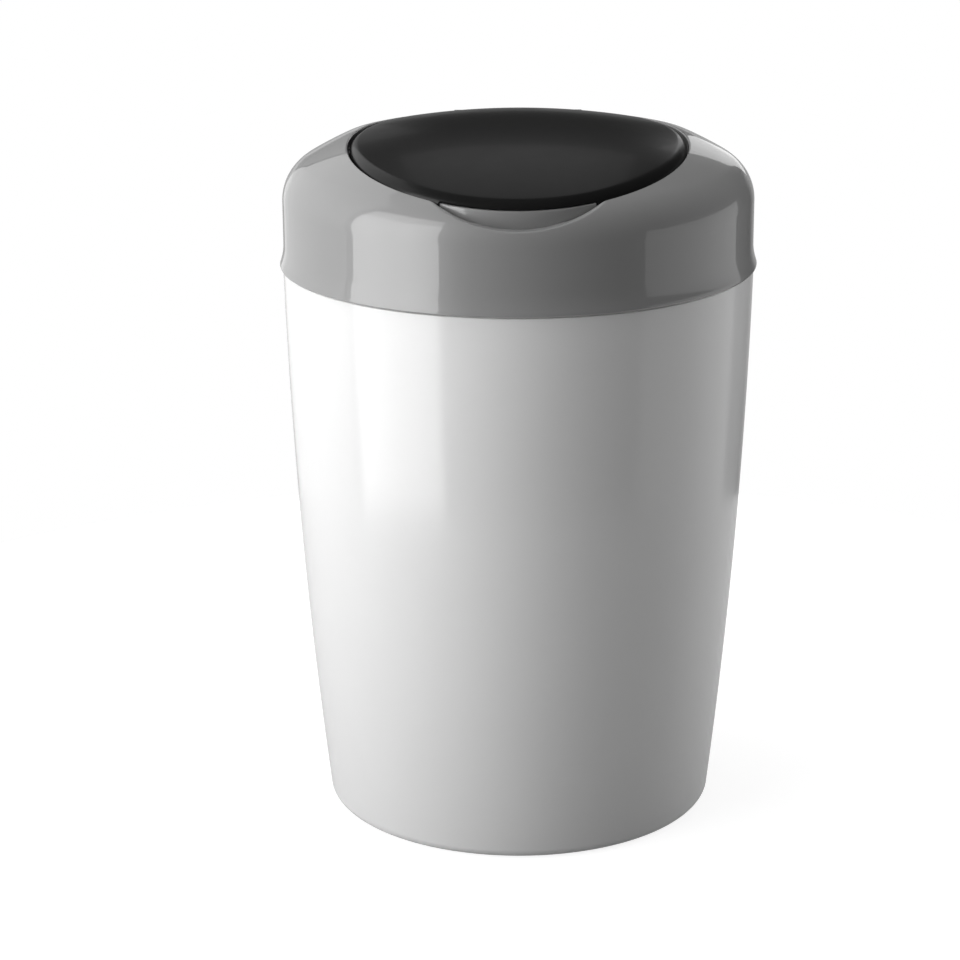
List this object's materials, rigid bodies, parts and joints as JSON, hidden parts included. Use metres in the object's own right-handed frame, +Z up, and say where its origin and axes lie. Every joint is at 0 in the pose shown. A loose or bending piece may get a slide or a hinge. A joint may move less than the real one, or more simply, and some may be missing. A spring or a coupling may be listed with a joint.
{
  "type": "nappy bin",
  "caption": "Round nappy bin with a lift-off collar, hinged oval flap and a turning carrier that twists a film cassette shut behind each nappy.",
  "frame": {"origin": "centre of the bin's base, on the floor", "axes": "+Z up along the bin's axis, the flap opens towards -Y (front), +X to the right seen from the front"},
  "size_m": [0.25, 0.25, 0.373],
  "materials": {
    "white_plastic": "gloss white moulded plastic",
    "grey_plastic": "gloss mid-grey moulded plastic",
    "charcoal_plastic": "satin-gloss charcoal moulded plastic",
    "liner_plastic": "matt dark grey moulded plastic",
    "inner_grey_plastic": "satin grey moulded plastic",
    "carrier_plastic": "satin light grey moulded plastic",
    "cassette_plastic": "milky translucent moulded plastic",
    "film": "pleated translucent film",
    "seal_rubber": "soft matt rubber",
    "cutter_plastic": "satin grey thumb slide",
    "blade_steel": "ground steel blade",
    "screw_steel": "zinc-plated steel"
  },
  "bodies": {
    "tub": {"tub": "white_plastic"},
    "top_unit": {"collar": "grey_plastic", "tray": "inner_grey_plastic", "tub_seal": "seal_rubber", "bezel_ring": "inner_grey_plastic", "tray_screws": "screw_steel", "gripper": "seal_rubber", "gripper_retainer": "inner_grey_plastic", "gripper_screws": "screw_steel", "hinge_pin": "screw_steel"},
    "carrier": {"carrier": "carrier_plastic", "cassette_body": "cassette_plastic", "cassette_cover": "cassette_plastic", "film_pack": "film"},
    "flap": {"flap_cover": "charcoal_plastic", "flap_liner": "liner_plastic", "flap_seal": "seal_rubber", "cutter_guard": "liner_plastic", "cutter_screws": "screw_steel"},
    "cutter": {"cutter_slider": "cutter_plastic", "cutter_blade": "blade_steel"}
  },
  "joints": [
    {"name": "lift_off", "type": "slide", "parent": "tub", "child": "top_unit", "axis": [0, 0, 1], "range_m": [0, 0.15]},
    {"name": "flap_hinge", "type": "hinge", "parent": "top_unit", "child": "flap", "pos_m": [0, 0.0723, 0.36016], "axis": [-1, 0, 0], "range_deg": [0, 100]},
    {"name": "carrier_turn", "type": "hinge", "parent": "top_unit", "child": "carrier", "pos_m": [0, -0.02, 0.3], "axis": [0, 0, 1], "continuous": true},
    {"name": "cutter_slide", "type": "slide", "parent": "flap", "child": "cutter", "axis": [1, 0, 0], "range_m": [0, 0.052]}
  ]
}
